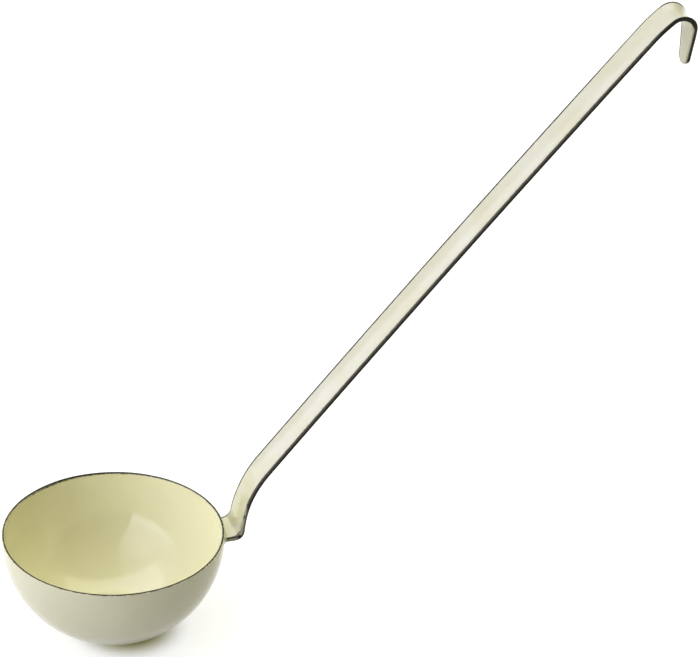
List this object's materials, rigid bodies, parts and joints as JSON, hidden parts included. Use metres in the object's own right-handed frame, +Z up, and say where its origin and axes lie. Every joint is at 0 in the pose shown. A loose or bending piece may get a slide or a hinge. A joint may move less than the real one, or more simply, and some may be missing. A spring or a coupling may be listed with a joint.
{
  "type": "ladle",
  "caption": "Enamelled steel ladle: half-round bowl with a dark rim and a long bent strip handle that ends in a hook, for serving and hanging.",
  "frame": {"origin": "middle of the flat under the bowl, on the surface that the bowl stands on", "axes": "+Z up along the bowl's axis, +X from the bowl towards the handle's hook, +Y to the left looking along the handle"},
  "size_m": [0.2804, 0.09, 0.2483],
  "materials": {
    "cream_enamel": "gloss",
    "dark_ground_coat": "satin",
    "steel_core": "satin"
  },
  "bodies": {
    "root": {"bowl_steel": "steel_core", "bowl_inner_enamel": "cream_enamel", "bowl_outer_enamel": "cream_enamel", "bowl_rim_enamel": "dark_ground_coat", "handle_steel": "steel_core", "handle_weld": "steel_core", "handle_front_enamel": "cream_enamel", "handle_back_enamel": "cream_enamel", "handle_edge_enamel": "dark_ground_coat"}
  },
  "joints": []
}
